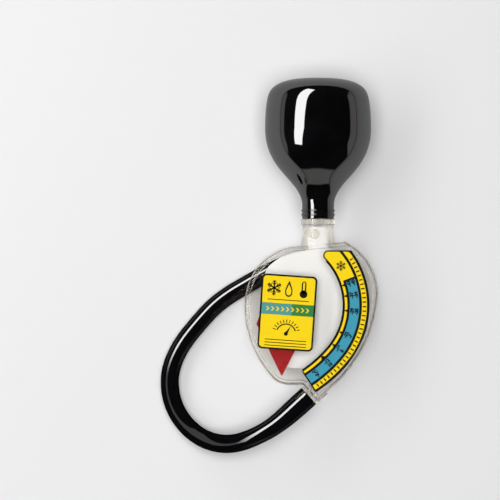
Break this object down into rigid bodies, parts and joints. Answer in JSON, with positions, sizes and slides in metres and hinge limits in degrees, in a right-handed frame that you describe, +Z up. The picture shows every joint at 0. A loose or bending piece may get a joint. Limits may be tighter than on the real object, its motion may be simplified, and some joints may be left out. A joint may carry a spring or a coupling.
{
  "type": "antifreeze tester",
  "caption": "Hand-held antifreeze tester: black squeeze bulb, flat clear case with a red float pointer and a curved freeze-point scale, and a black suction hose that loops under the case.",
  "frame": {"origin": "on the surface the tester lies on, below the centre of the box round the object without its hose", "axes": "+Z up out of the dial's front, +Y towards the squeeze bulb, +X to the right as the dial is read; the tester lies on its back"},
  "size_m": [0.1129, 0.1933, 0.0545],
  "materials": {
    "black_rubber": "smooth and glossy",
    "hose_rubber": "smooth and glossy",
    "clear_plastic": "polished and clear",
    "white_plastic": "smooth",
    "cream_plastic": "smooth",
    "red_plastic": "smooth",
    "steel": "ground",
    "brass": "turned",
    "printed_film": "satin printed film"
  },
  "bodies": {
    "case": {"front_shell": "clear_plastic", "rear_shell": "clear_plastic", "dial_plate": "white_plastic", "plate_rivet": "cream_plastic", "pivot_pin": "steel", "scale_label": "printed_film", "info_label": "printed_film", "hose": "hose_rubber"},
    "pointer": {"pointer": "red_plastic", "pointer_weight": "brass"},
    "bulb": {"squeeze_bulb": "black_rubber"}
  },
  "joints": [
    {"name": "pointer_swing", "type": "hinge", "parent": "case", "child": "pointer", "pos_m": [-0.01705, -0.03035, 0.02725], "axis": [0, 0, 1], "range_deg": [-3, 143]},
    {"name": "bulb_squeeze", "type": "slide", "parent": "case", "child": "bulb", "axis": [0, 0, -1], "range_m": [0, 0.02], "stiffness_N_per_m": 900, "deforming": ["squeeze_bulb"]}
  ]
}
